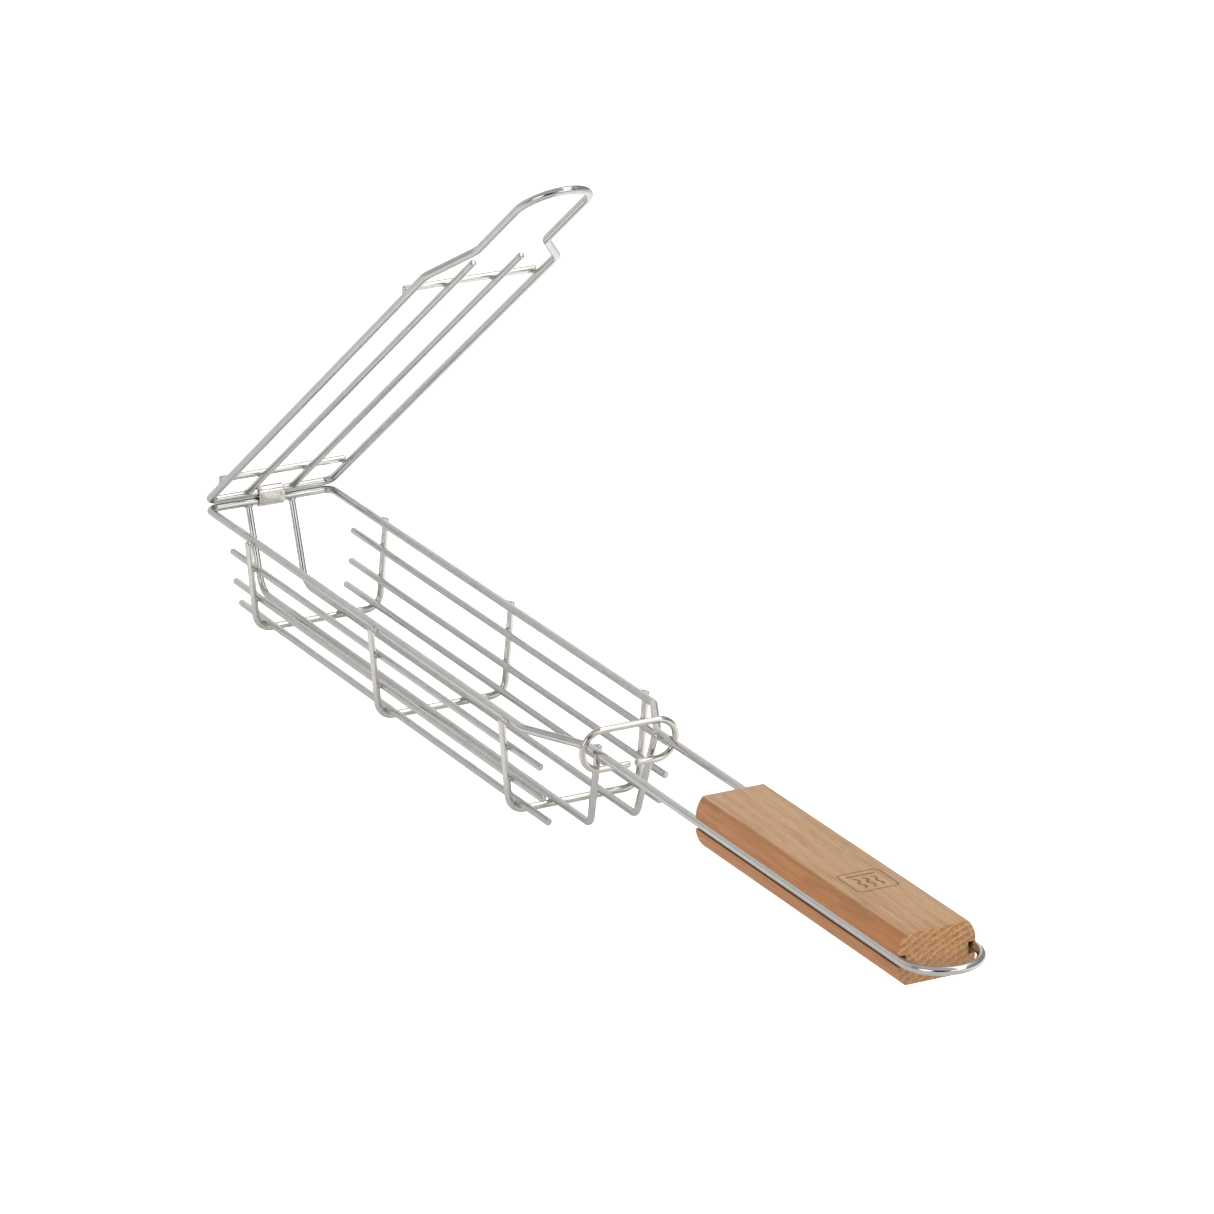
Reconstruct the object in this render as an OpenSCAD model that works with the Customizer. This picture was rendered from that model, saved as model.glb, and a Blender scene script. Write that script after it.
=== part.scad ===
/* [Wires] */
// Diameter of the heavy wire of the main frame and the lid frame
frame_wire = 4.0; // [3.6:0.1:4.8]
// Diameter of the thinner wire of the hoops, long rods and cross wires
rod_wire = 3.4; // [2.8:0.1:4.0]
// Depth by which crossing wires sink into each other at a resistance weld
weld_bite = 0.2; // [0.1:0.05:0.3]
// Chamfer on the cut end of every wire
wire_chamfer = 0.5; // [0.3:0.1:0.8]
// Number of facets used for a quick preview of round wire
wire_fn = 24; // [16:4:48]

/* [Basket rim and handle wires] */
// Width of the rim, between wire centres
basket_w = 67; // [55:1:90]
// Length of the straight rim, from the rear bar to the first bend
rim_len = 336; // [320:1:420]
// Length along X over which the rim narrows to the handle wires
neck_len = 33; // [24:1:44]
// Distance between the two handle wires, between centres
handle_spacing = 35.6; // [32:0.2:44]
// Length of the handle wires, from the second bend to the centre of the end loop
handle_len = 278; // [240:1:340]
// Bend radius at the two rear corners of the frame, on the wire centre
corner_bend = 5; // [4:0.5:8]
// Bend radius where the rim narrows, on the wire centre
neck_bend = 10; // [6:1:16]

/* [Hoops] */
// Depth of the basket, from the rim's centre to the hoop bottoms' centre
hoop_drop = 45; // [38:1:60]
// Lean of the hoop legs from the vertical, in degrees
hoop_lean = 5; // [2:0.5:8]
// Bend radius of the hoop's bottom corners, on the wire centre
hoop_bend = 8; // [7:0.5:12]
// Distance of the rear hoop from the rear bar
hoop_rear_x = 54; // [44:1:70]
// Distance of the front hoop behind the rim's front bends
hoop_front_setback = 14; // [12:1:30]

/* [Long rods] */
// Depth of the upper side rods below the rim's centre
upper_rod_drop = 13.7; // [11:0.1:17]
// Depth of the lower side rods below the rim's centre
lower_rod_drop = 29.2; // [24:0.1:32]
// Place of the corner rod round the hoop's corner, in degrees from straight down
corner_rod_angle = 34; // [25:1:50]
// Distance of the long rods' rear ends from the rear bar
rod_start_x = 26; // [18:1:40]
// Distance of the long rods' front ends beyond the rim's front bends
rod_overhang = 16; // [-4:1:20]

/* [Centre rods] */
// Distance between the two centre rods, between centres
centre_spacing = 23.4; // [20:0.2:26]
// Distance of the rear upward bend from the rear bar
rear_bend_x = 15; // [10:1:24]
// Bend radius of the rear upward bend
rear_bend = 10; // [6:1:14]
// Distance that the front upward bend stops short of the handle wires' start
front_bend_setback = 9; // [5:0.5:14]
// Forward lean of the front legs, along X, over their whole height
front_leg_run = 12.6; // [8:0.2:14]
// Bend radius of the front upward bend
front_bend = 5; // [4:0.5:8]
// Height of the front legs' cut ends above the top of the handle wires
leg_rise = -1; // [-1.6:0.1:0.1]

/* [Lid] */
// Opening angle of the lid in the modelled pose, from closed
lid_open = 37; // [10:1:120]
// Distance of the lid's first bends behind the rim's front bends
lid_setback = 33; // [24:1:44]
// Length over which the lid frame narrows to the thumb loop
lid_neck_len = 26; // [20:1:34]
// Distance of the thumb loop's wires inside the handle wires, on each side
lid_loop_inset = 0.6; // [0.4:0.1:1.5]
// Reach of the thumb loop beyond the lock ring, to the wire's centre
lid_reach = 19.5; // [14:0.5:30]
// Distance between the two lid rods, between centres
lid_rod_spacing = 24.4; // [20:0.2:30]
// Distance of the lid rods' front ends beyond the lid's first bends
lid_rod_overhang = 8; // [0:1:16]
// Distance of the rear cross wire from the hinge axis
lid_cross_rear = 22; // [16:1:40]
// Distance of the front cross wire behind the lid's first bends
lid_cross_setback = 25; // [14:1:40]
// Length by which each cross wire passes the centres of the lid's side wires
lid_cross_pass = 0.6; // [0.4:0.1:2]
// Gap between the lid's wire and the basket's wire when the lid is closed
lid_gap = 0.3; // [0.2:0.1:0.6]

/* [Hinge clip] */
// Width of the hinge clip, along the bars
clip_w = 13.6; // [10:0.2:18]
// Thickness of the clip's sheet
clip_sheet = 1.0; // [0.8:0.1:1.4]
// Radial clearance between the clip and the lid's bar
clip_clear = 0.15; // [0.1:0.05:0.3]
// Radial squeeze of the clip on the basket's bar
clip_squeeze = 0.05; // [0.02:0.01:0.1]
// Width of the open seam along the back of the clip
clip_seam = 1.2; // [0.8:0.1:2]

/* [Lock ring] */
// Diameter of the ring's wire
ring_wire = 3.2; // [2.8:0.1:3.6]
// Side clearance between the handle wires and the inside of the ring
ring_side_clear = 2.2; // [1.4:0.1:3]
// Clearance between the closed thumb loop and the ring's upper side
ring_top_clear = 1.2; // [1:0.1:3]
// Depth of the ring's lower side below the handle wires' centre, to its wire's centre
ring_drop = 10.1; // [9.6:0.1:13]
// Distance of the ring from the start of the straight handle wires
ring_offset = 6; // [5:0.5:12]
// Width of the open gap in the ring's lower side
ring_gap = 2.6; // [2:0.1:5]
// Distance of the gap from the middle of the ring, to the right
ring_gap_y = 2; // [-6:0.5:6]
// Backward tilt of the ring's lower side, in degrees
ring_tilt = 3; // [0:0.5:4]

/* [Handle grip] */
// Length of the wooden grip
grip_len = 175; // [150:1:200]
// Distance from the grip's rear face to the end loop's centre
grip_end_gap = 1.2; // [0.5:0.1:4]
// Thickness of the grip, top face to bottom face
grip_t = 23.2; // [20:0.2:30]
// Width of the flat top and bottom faces
grip_flat_w = 30.4; // [24:0.2:32]
// Height of the upright band along each side
grip_band_h = 10.4; // [8:0.2:14]
// Depth of wood from the handle wire's centre out to the grip's side
grip_lip = 0.8; // [0.4:0.1:1.4]
// Depth of the groove's floor past the handle wire's inner side
groove_extra = 0.6; // [0.2:0.1:1.2]
// Gap between the underside of the handle wire and the groove's lower face
groove_under = 1.0; // [0.4:0.1:1.6]
// Squeeze of the groove's upper face on the handle wire
groove_squeeze = 0.06; // [0.04:0.01:0.1]

/* [Hidden] */

// band where a bend meets a straight length of wire: its length and its rise
band_len = 0.5;
band_rise = 0.02;

frame_r = frame_wire / 2;
rod_r = rod_wire / 2;
ring_r = ring_wire / 2;
rim_y = basket_w / 2;
handle_y = handle_spacing / 2;
// start of the straight handle wires, and the centre of the end loop
handle_x = rim_len + neck_len;
loop_x = handle_x + handle_len;
frame_end_x = loop_x + handle_y + frame_r;

// a hoop leg's centre-line leaves the rim at leg_y0 and leans inward going down
rr_pitch = rod_wire - weld_bite;
fr_pitch = frame_r + rod_r - weld_bite;
leg_y0 = rim_y + fr_pitch / cos(hoop_lean);
hoop_top_z = frame_r / 2;
hoop_front_x = rim_len - hoop_front_setback;
hoop_middle_x = (hoop_rear_x + hoop_front_x) / 2;
rod_end_x = rim_len + rod_overhang;
function leg_y(z) = leg_y0 + z * tan(hoop_lean);
function side_rod_y(z) = leg_y(z) - rr_pitch / cos(hoop_lean);
hoop_arc_z = hoop_bend - hoop_drop;
hoop_arc_y = leg_y(hoop_arc_z) - hoop_bend / cos(hoop_lean);
corner_rod_y = hoop_arc_y + (hoop_bend - rr_pitch) * sin(corner_rod_angle);
corner_rod_z = hoop_arc_z - (hoop_bend - rr_pitch) * cos(corner_rod_angle);
floor_z = rr_pitch - hoop_drop;

// the front legs rise from the floor to the inner sides of the handle wires
front_bend_x = handle_x - front_bend_setback;
leg_weld_y = handle_y - fr_pitch;
leg_foot = [front_bend_x, centre_spacing / 2, floor_z];
leg_weld = [front_bend_x + front_leg_run, leg_weld_y, 0];
leg_top = frame_r + leg_rise;
leg_head = leg_foot + (leg_weld - leg_foot) * (leg_top - floor_z) / (0 - floor_z);
rear_foot = [rear_bend_x, centre_spacing / 2, floor_z];
rear_up = unit([0, centre_spacing / 2, 0] - rear_foot);
rear_head = [0, centre_spacing / 2, 0] - rear_up * (frame_r - weld_bite);

// lid, in its own closed pose, with the hinge axis along Y through its rear bar
hinge_z = frame_wire + lid_gap;
lid_side_len = rim_len - lid_setback;
lid_neck_x = lid_side_len + lid_neck_len;
lid_loop_y = handle_y - lid_loop_inset;
lid_loop_end = handle_x + ring_offset + lid_reach;
lid_rod_end = lid_side_len + lid_rod_overhang;
lid_cross_front = lid_side_len - lid_cross_setback;
cross_z = fr_pitch;
lid_rod_z = cross_z - rr_pitch;

// clip
clip_in_low = frame_r - clip_squeeze;
clip_in_high = frame_r + clip_clear;
clip_out = frame_r + clip_clear + clip_sheet;

// ring
ring_x = handle_x + ring_offset;
ring_half = handle_y + frame_r + ring_side_clear + ring_r;
ring_top = hinge_z + frame_r + ring_top_clear + ring_r;
ring_bend = (ring_top + ring_drop) / 2;
ring_z = (ring_top - ring_drop) / 2;

// grip
grip_x1 = loop_x - grip_end_gap;
grip_x0 = grip_x1 - grip_len;
grip_y = handle_y + grip_lip;
groove_y = handle_y - frame_r - groove_extra;
groove_top = frame_r - groove_squeeze;
groove_low = -frame_r - groove_under;

// the part's origin is under the middle of its box, on the surface it stands on
mid_x = (frame_end_x - clip_out) / 2;
stand_z = hoop_drop + rod_r;

$fn = wire_fn;

function unit(v) = v / norm(v);
function side_of(w) = unit(cross(w, abs(w[2]) < 0.9 ? [0, 0, 1] : [1, 0, 0]));
function turn(p, i) = let (n = len(p), a = unit(p[i] - p[(i + n - 1) % n]),
  b = unit(p[(i + 1) % n] - p[i])) acos(max(-1, min(1, a * b)));
function set_back(p, r, i) = r[i] * tan(turn(p, i) / 2);

// frame of reference with axes x, y, z at o
module at_axes(o, x, y, z) {
  multmatrix([[x[0], y[0], z[0], o[0]], [x[1], y[1], z[1], o[1]],
    [x[2], y[2], z[2], o[2]], [0, 0, 0, 1]]) children();
}

// one straight length of wire from a to b; c0 and c1 chamfer its cut ends
module wire_run(a, b, d, c0 = 0, c1 = 0) {
  l = norm(b - a);
  w = (b - a) / l;
  s = side_of(w);
  at_axes(a, s, cross(w, s), w) rotate_extrude($fn = wire_fn)
    polygon(concat([[0, 0]], c0 > 0 ? [[d / 2 - c0, 0], [d / 2, c0]] : [[d / 2, 0]],
      c1 > 0 ? [[d / 2, l - c1], [d / 2 - c1, l]] : [[d / 2, l]], [[0, l]]));
}

// one bend at p, from direction u to direction v, on centre-line radius r;
// a short, barely fuller band joins it to the straight length at each end
module wire_bend(p, u, v, r, d, band_before) {
  a = acos(max(-1, min(1, u * v)));
  n = unit(v - (u * v) * u);
  at_axes(p - u * r * tan(a / 2) + n * r, -n, u, cross(u, n)) {
    rotate_extrude(angle = a, $fn = wire_fn * 2) translate([r, 0]) circle(d = d, $fn = wire_fn);
    for (t = band_before ? [0, a] : [a]) rotate([0, 0, t]) translate([r, 0, 0])
      rotate([90, 0, 0]) cylinder(h = band_len, d = d + 2 * band_rise, center = true,
        $fn = wire_fn);
  }
}

// wire bent along points p with bend radii r; closed, or open with chamfered ends
module bent_wire(p, r, d, closed = false, chamfer = 0) {
  n = len(p);
  for (i = [0 : closed ? n - 1 : n - 2]) {
    j = (i + 1) % n;
    w = unit(p[j] - p[i]);
    first = !closed && i == 0;
    last = !closed && j == n - 1;
    a = first ? p[i] : p[i] + w * set_back(p, r, i);
    b = last ? p[j] : p[j] - w * set_back(p, r, j);
    if ((b - a) * w > 0.01)
      wire_run(a, b, d, first ? chamfer : 0, last ? chamfer : 0);
  }
  for (i = [closed ? 0 : 1 : closed ? n - 1 : n - 2])
    let (q = p[(i + n - 1) % n], gap = norm(p[i] - q) - set_back(p, r, i)
      - (r[(i + n - 1) % n] > 0 ? set_back(p, r, (i + n - 1) % n) : 0))
      wire_bend(p[i], unit(p[i] - q), unit(p[(i + 1) % n] - p[i]), r[i], d, gap > 0.01);
}

module place() { translate([-mid_x, 0, stand_z]) children(); }
module place_lid() {
  place() translate([0, 0, hinge_z]) rotate([0, -lid_open, 0]) children();
}

// closed wire: rear bar, two sides, two necks and a round end loop
module loop_frame(side_len, neck_end, end_x, side_y, end_y) {
  bent_wire([[0, -side_y, 0], [side_len, -side_y, 0], [neck_end, -end_y, 0],
    [end_x + end_y, -end_y, 0], [end_x + end_y, end_y, 0], [neck_end, end_y, 0],
    [side_len, side_y, 0], [0, side_y, 0]],
    [corner_bend, neck_bend, neck_bend, end_y, end_y, neck_bend, neck_bend, corner_bend],
    frame_wire, closed = true);
}

module hoop(x) {
  place() bent_wire([[x, -leg_y(hoop_top_z), hoop_top_z],
    [x, -leg_y(-hoop_drop), -hoop_drop], [x, leg_y(-hoop_drop), -hoop_drop],
    [x, leg_y(hoop_top_z), hoop_top_z]], [0, hoop_bend, hoop_bend, 0], rod_wire,
    chamfer = wire_chamfer);
}

module long_rod(y, z) {
  place() wire_run([rod_start_x, y, z], [rod_end_x, y, z], rod_wire,
    wire_chamfer, wire_chamfer);
}

module centre_rod() {
  bent_wire([rear_head, rear_foot, leg_foot, leg_head], [0, rear_bend, front_bend, 0],
    rod_wire, chamfer = wire_chamfer);
}

module lid_cross(l) {
  h = rim_y + lid_cross_pass;
  place_lid() wire_run([l, -h, cross_z], [l, h, cross_z], rod_wire,
    wire_chamfer, wire_chamfer);
}

module lid_rod(y) {
  place_lid() wire_run([frame_r - weld_bite, y, lid_rod_z], [lid_rod_end, y, lid_rod_z],
    rod_wire, wire_chamfer, wire_chamfer);
}

module stadium(r, h) {
  circle(r);
  translate([-r, 0]) square([2 * r, h]);
  translate([0, h]) circle(r);
}

// half outline of the grip's section, upper right quarter
function grip_quarter() = [[grip_flat_w / 2, grip_t / 2],
  [grip_flat_w / 2 + (grip_y - grip_flat_w / 2) * 0.55,
    grip_t / 2 - (grip_t - grip_band_h) / 2 * 0.4], [grip_y, grip_band_h / 2]];

module grip_section() {
  q = grip_quarter();
  n = len(q);
  polygon(concat(q, [for (i = [n - 1 : -1 : 0]) [q[i][0], -q[i][1]]],
    [for (i = [0 : n - 1]) [-q[i][0], -q[i][1]]],
    [for (i = [n - 1 : -1 : 0]) [-q[i][0], q[i][1]]]));
}

module main_frame() {
  color([0.74, 0.73, 0.70]) place()
    loop_frame(rim_len, handle_x, loop_x, rim_y, handle_y);
}
module hoop_rear() { color([0.80, 0.79, 0.76]) hoop(hoop_rear_x); }
module hoop_middle() { color([0.80, 0.79, 0.76]) hoop(hoop_middle_x); }
module hoop_front() { color([0.80, 0.79, 0.76]) hoop(hoop_front_x); }

module left_upper_rod() {
  color([0.76, 0.76, 0.75]) long_rod(-side_rod_y(-upper_rod_drop), -upper_rod_drop);
}
module left_lower_rod() {
  color([0.76, 0.76, 0.75]) long_rod(-side_rod_y(-lower_rod_drop), -lower_rod_drop);
}
module left_corner_rod() {
  color([0.76, 0.76, 0.75]) long_rod(-corner_rod_y, corner_rod_z);
}
module right_upper_rod() {
  color([0.76, 0.76, 0.75]) long_rod(side_rod_y(-upper_rod_drop), -upper_rod_drop);
}
module right_lower_rod() {
  color([0.76, 0.76, 0.75]) long_rod(side_rod_y(-lower_rod_drop), -lower_rod_drop);
}
module right_corner_rod() {
  color([0.76, 0.76, 0.75]) long_rod(corner_rod_y, corner_rod_z);
}
module left_centre_rod() {
  color([0.76, 0.76, 0.75]) place() mirror([0, 1, 0]) centre_rod();
}
module right_centre_rod() {
  color([0.76, 0.76, 0.75]) place() centre_rod();
}

// folded sheet sleeve round both rear bars, with an open seam at the back
module hinge_clip() {
  color([0.86, 0.85, 0.84]) place()
    translate([0, clip_w / 2, 0]) rotate([90, 0, 0]) linear_extrude(clip_w)
      difference() {
        stadium(clip_out, hinge_z);
        circle(clip_in_low);
        translate([-clip_in_low, 0]) square([2 * clip_in_low, hinge_z / 2]);
        translate([-clip_in_high, hinge_z / 2]) square([2 * clip_in_high, hinge_z / 2]);
        translate([0, hinge_z]) circle(clip_in_high);
        translate([-2 * clip_out, hinge_z / 2 - clip_seam / 2])
          square([2 * clip_out, clip_seam]);
      }
}

// one block of wood with a groove along each side for the handle wires
module handle_grip() {
  color([0.72, 0.50, 0.31]) place() difference() {
    translate([grip_x0, 0, 0]) rotate([90, 0, 90]) linear_extrude(grip_len) grip_section();
    for (s = [-1, 1]) translate([grip_x0 - 1, s > 0 ? groove_y : -2 * grip_y, groove_low])
      cube([grip_len + 2, 2 * grip_y - groove_y, groove_top - groove_low]);
  }
}

module lid_frame() {
  color([0.74, 0.73, 0.70]) place_lid()
    loop_frame(lid_side_len, lid_neck_x, lid_loop_end - lid_loop_y, rim_y, lid_loop_y);
}
module lid_rear_cross_wire() { color([0.86, 0.85, 0.84]) lid_cross(lid_cross_rear); }
module lid_front_cross_wire() { color([0.86, 0.85, 0.84]) lid_cross(lid_cross_front); }
module lid_left_rod() { color([0.76, 0.76, 0.75]) lid_rod(-lid_rod_spacing / 2); }
module lid_right_rod() { color([0.76, 0.76, 0.75]) lid_rod(lid_rod_spacing / 2); }

// long ring round both handle wires, its two cut ends facing across a gap below
module lock_ring() {
  h = ring_bend;
  color([0.88, 0.87, 0.86]) place() translate([ring_x, 0, ring_z]) rotate([0, ring_tilt, 0])
    bent_wire([[0, ring_gap_y + ring_gap / 2, -h], [0, ring_half, -h], [0, ring_half, h],
      [0, -ring_half, h], [0, -ring_half, -h], [0, ring_gap_y - ring_gap / 2, -h]],
      [0, ring_bend, ring_bend, ring_bend, ring_bend, 0], ring_wire, chamfer = wire_chamfer);
}

main_frame();
hoop_rear();
hoop_middle();
hoop_front();
left_upper_rod();
left_lower_rod();
left_corner_rod();
right_upper_rod();
right_lower_rod();
right_corner_rod();
left_centre_rod();
right_centre_rod();
hinge_clip();
handle_grip();
lid_frame();
lid_rear_cross_wire();
lid_front_cross_wire();
lid_left_rod();
lid_right_rod();
lock_ring();
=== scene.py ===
import math

import bmesh
import bpy
from bpy.props import (FloatProperty, FloatVectorProperty, IntProperty,
                       PointerProperty)
from mathutils import Matrix, Vector, noise


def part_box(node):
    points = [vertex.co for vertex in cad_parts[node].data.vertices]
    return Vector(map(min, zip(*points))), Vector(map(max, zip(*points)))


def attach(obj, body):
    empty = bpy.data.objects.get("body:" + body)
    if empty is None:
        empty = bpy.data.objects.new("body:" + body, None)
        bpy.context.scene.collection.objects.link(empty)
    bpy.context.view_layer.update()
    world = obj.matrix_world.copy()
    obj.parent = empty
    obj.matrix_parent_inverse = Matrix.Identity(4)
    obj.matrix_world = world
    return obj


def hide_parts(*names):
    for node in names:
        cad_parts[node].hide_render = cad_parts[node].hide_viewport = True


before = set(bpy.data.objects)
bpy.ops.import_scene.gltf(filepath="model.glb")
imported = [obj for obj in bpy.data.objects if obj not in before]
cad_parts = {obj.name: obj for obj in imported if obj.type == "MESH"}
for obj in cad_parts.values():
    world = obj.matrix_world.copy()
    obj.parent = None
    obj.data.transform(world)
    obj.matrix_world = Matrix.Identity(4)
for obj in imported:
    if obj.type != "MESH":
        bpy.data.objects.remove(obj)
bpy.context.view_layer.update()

bl_info = {
    "name": "Grill basket",
    "version": (1, 0, 0),
    "blender": (4, 5, 0),
    "location": "3D View > Sidebar > Grill basket",
    "description": "Wire grill basket with a hinged lid, a sliding lock ring and a wooden grip",
    "category": "Object",
}

RIGHT_ANGLE = math.pi / 2
BEND_STEP = math.radians(5)      # bend between two drawn rings
CUT_STEPS = 4                    # rings over a rounded cut end
FRAME_LOW, FRAME_HIGH = (Vector(corner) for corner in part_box("main_frame"))

# Half sizes of the weld beads: along the first wire, along the second, and out
ROD_BEAD = (0.0016, 0.0016, 0.00062)
RIM_BEAD = (0.0031, 0.0019, 0.0017)
HEAD_BEAD = (0.0026, 0.0019, 0.0011)
LEG_BEAD = (0.0021, 0.0020, 0.0008)
CROSS_BEAD = (0.0018, 0.0017, 0.00070)
LID_ROD_BEAD = (0.0022, 0.0017, 0.0007)
SUNK = 0.95                      # bead's middle, as a part of the wire's radius
HOOP_END = 0.47                  # rounding of a hoop's cut end, as a part of its diameter

SAME = 1e-5                      # places closer than this are one place
GRIP_SLICES = 12
SHOULDER_EASE, WAIST_EASE = 0.0014, 0.0012     # bevels along the grip's sides
CLIP_STEPS = 20                  # flats round each of the clip's two bends
CLIP_EASE = 0.00028              # bevel of the clip's sheet edges
MARK_X = 0.588                   # middle of the burnt mark, from the rear bar

FLOOR_RADIUS, FLOOR_DROP = 14, 0.0002
CAMERA_AT = (2.585763, -1.360870, 1.172184)
CAMERA_TURN, CAMERA_TIP = math.radians(62.04), math.radians(20.19)
CAMERA_LENS, CAMERA_REACH = 205.35, 50


# ---------------- sizes

def metres(name, description, default, precision=4):
    """A length, or a row of lengths, that a user can change."""
    told = {"name": name, "description": description, "default": default,
            "unit": "LENGTH", "precision": precision}
    if isinstance(default, tuple):
        return FloatVectorProperty(size=len(default), **told)
    return FloatProperty(**told)


def degrees(name, description, default):
    """An angle that a user can change."""
    return FloatProperty(name=name, description=description,
                         default=math.radians(default), subtype="ANGLE")


def colour(name, description, default):
    """A colour that a user can change."""
    return FloatVectorProperty(name=name, description=description, default=default,
                               subtype="COLOR", size=3, min=0, max=1)


class WireSizes(bpy.types.PropertyGroup):
    """Stock that every wire is cut from"""
    frame_d: metres("Frame wire", "Diameter of the rim, handle and lid wire", 0.004)
    rod_d: metres("Rod wire", "Diameter of the hoops, rods and cross wires", 0.0034)
    ring_d: metres("Ring wire", "Diameter of the lock ring's wire", 0.0032)
    cut: metres("Cut edge", "Radius that tumbling leaves on a cut end", 0.0009)
    joint_cut: metres(
        "Butt joint edge", "Depth of the groove where a wire meets itself", 0.00022, 5)
    sides: IntProperty(
        name="Sides", description="Faces round a wire", default=32, min=12, max=64)


class BasketSizes(bpy.types.PropertyGroup):
    """Rim, handle wires, hoops and rods, measured from the middle of the rear bar"""
    rim_length: metres("Rim length", "Rear bar to the corner where the rim turns in", 0.336)
    rim_half: metres("Rim half width", "Middle line to the rim wire", 0.0335)
    neck_x: metres("Neck", "Where the handle wires start to run side by side", 0.369)
    handle_half: metres("Handle half width", "Middle line to a handle wire", 0.0178)
    loop_x: metres("Hanging loop", "Middle of the arc at the handle's end", 0.647)
    rear_bend: metres("Rear bend", "Bend radius of the rim's rear corners", 0.005)
    neck_bend: metres("Neck bend", "Bend radius where the rim turns to the handle", 0.010)
    hoops: metres("Hoops", "Places of the rear, middle and front hoops", (0.054, 0.188, 0.322))
    hoop_top: metres(
        "Hoop top", "Height of the hoops' cut ends above the rim wire's middle", 0.001)
    hoop_top_y: metres("Hoop leg", "Middle line to a hoop leg at rim height", 0.0370134, 5)
    hoop_lean: degrees("Hoop lean", "Angle at which the hoop legs lean out", 5)
    hoop_drop: metres("Hoop drop", "Depth of a hoop's floor wire below the rim", 0.045)
    hoop_bend: metres("Hoop bend", "Bend radius of the hoops", 0.008)
    rod_ends: metres("Rod ends", "Where the six long side rods start and stop", (0.026, 0.352))
    upper_rod: metres(
        "Upper rods", "Half width and depth of the upper side rods", (0.032603, -0.0137), 5)
    lower_rod: metres(
        "Lower rods", "Half width and depth of the lower side rods", (0.031247, -0.0292), 5)
    corner_rod: metres(
        "Corner rods", "Half width and depth of the corner rods", (0.028430, -0.040979), 5)
    centre_half: metres("Centre rod half width", "Middle line to a centre rod", 0.0117)
    centre_head: metres(
        "Centre rod head", "Along and up, where a centre rod meets the rear bar",
        (0.000608, -0.001694), 5)
    centre_foot: metres(
        "Centre rod foot", "Along and up, where a centre rod reaches the floor", (0.015, -0.0418))
    leg_foot: metres("Front leg foot", "Where a centre rod turns up at the front", 0.360)
    leg_head: metres(
        "Front leg head", "Top end of a centre rod's front leg", (0.372898, 0.014362, 0.001), 5)
    leg_bends: metres("Centre rod bends", "Bend radii at the rear and front foot", (0.010, 0.005))


class LidSizes(bpy.types.PropertyGroup):
    """Lid, measured along, across and out from the hinge line"""
    hinge_z: metres("Hinge height", "Hinge line above the rim wire's middle", 0.0043)
    angle: degrees("Lid angle", "How far the lid stands open", 37)
    length: metres("Lid length", "Hinge to the corner where the lid turns in", 0.303)
    half: metres("Lid half width", "Middle line to the lid's side wire", 0.0335)
    neck: metres("Lid neck", "Where the thumb loop's wires start", 0.329)
    loop_half: metres("Thumb loop half width", "Middle line to a thumb loop wire", 0.0172)
    loop_l: metres("Thumb loop arc", "Middle of the thumb loop's end arc", 0.3773)
    joint: degrees("Butt joint", "Angle from the loop's tip to the wire's butt joint", 13)
    rear_bend: metres("Rear bend", "Bend radius of the lid's rear corners", 0.005)
    neck_bend: metres("Neck bend", "Bend radius where the lid turns to the thumb loop", 0.010)
    cross_at: metres("Cross wires", "Places of the rear and front cross wires", (0.022, 0.278))
    cross_half: metres("Cross wire half length", "Middle line to a cross wire's cut end", 0.0341)
    cross_out: metres(
        "Cross wire height", "Cross wires' middle above the lid wire's middle", 0.0035)
    rod_half: metres("Lid rod half width", "Middle line to a lid rod", 0.0122)
    rod_out: metres("Lid rod height", "Lid rods' middle above the lid wire's middle", 0.0003)
    rod_ends: metres("Lid rod ends", "Where the lid rods start and stop", (0.0018, 0.311))


class FittingSizes(bpy.types.PropertyGroup):
    """Hinge clip, lock ring and grip"""
    clip_half: metres("Clip half width", "Middle line to the clip's edge", 0.0068)
    clip_outer: metres("Clip radius", "Outer radius of the clip's two bends", 0.00315, 5)
    clip_sheet: metres("Clip sheet", "Thickness of the clip's sheet", 0.001)
    clip_seam: metres("Clip seam", "Gap between the sheet's two edges", 0.0012)
    ring_x: metres("Ring place", "Where the ring hangs on the handle wires", 0.375)
    ring_z: metres("Ring height", "Ring's middle against the handle wires' middle", -0.0005)
    ring_half: metres("Ring half width", "Middle line to the ring's side", 0.0236)
    ring_bend: metres("Ring bend", "Bend radius of the ring's sides", 0.0096)
    ring_tilt: degrees("Ring tilt", "How far the ring leans", 3)
    ring_gap: metres("Ring gap", "Opening between the ring's cut ends", 0.0026)
    ring_gap_y: metres("Ring gap place", "Middle of the ring's opening", 0.002)
    grip_ends: metres("Grip ends", "Where the grip starts and stops", (0.4708, 0.6458))
    grip_half_z: metres("Grip half thickness", "Middle to the grip's flat face", 0.0116)
    grip_flat: metres("Grip flat", "Half width of the flat face", 0.0152)
    grip_shoulder: metres(
        "Grip shoulder", "Half width and height of the point between the faces",
        (0.01707, 0.00904), 5)
    grip_waist: metres(
        "Grip waist", "Greatest half width and the height where it starts", (0.0186, 0.0052))
    groove_floor: metres("Groove floor", "Middle to the floor of a wire groove", 0.0152)
    groove_z: metres("Groove", "Heights of a groove's lower and upper wall", (-0.003, 0.00194), 5)
    grip_edge: metres("Grip edge", "Width that sanding takes off the grip's edges", 0.0005)


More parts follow.
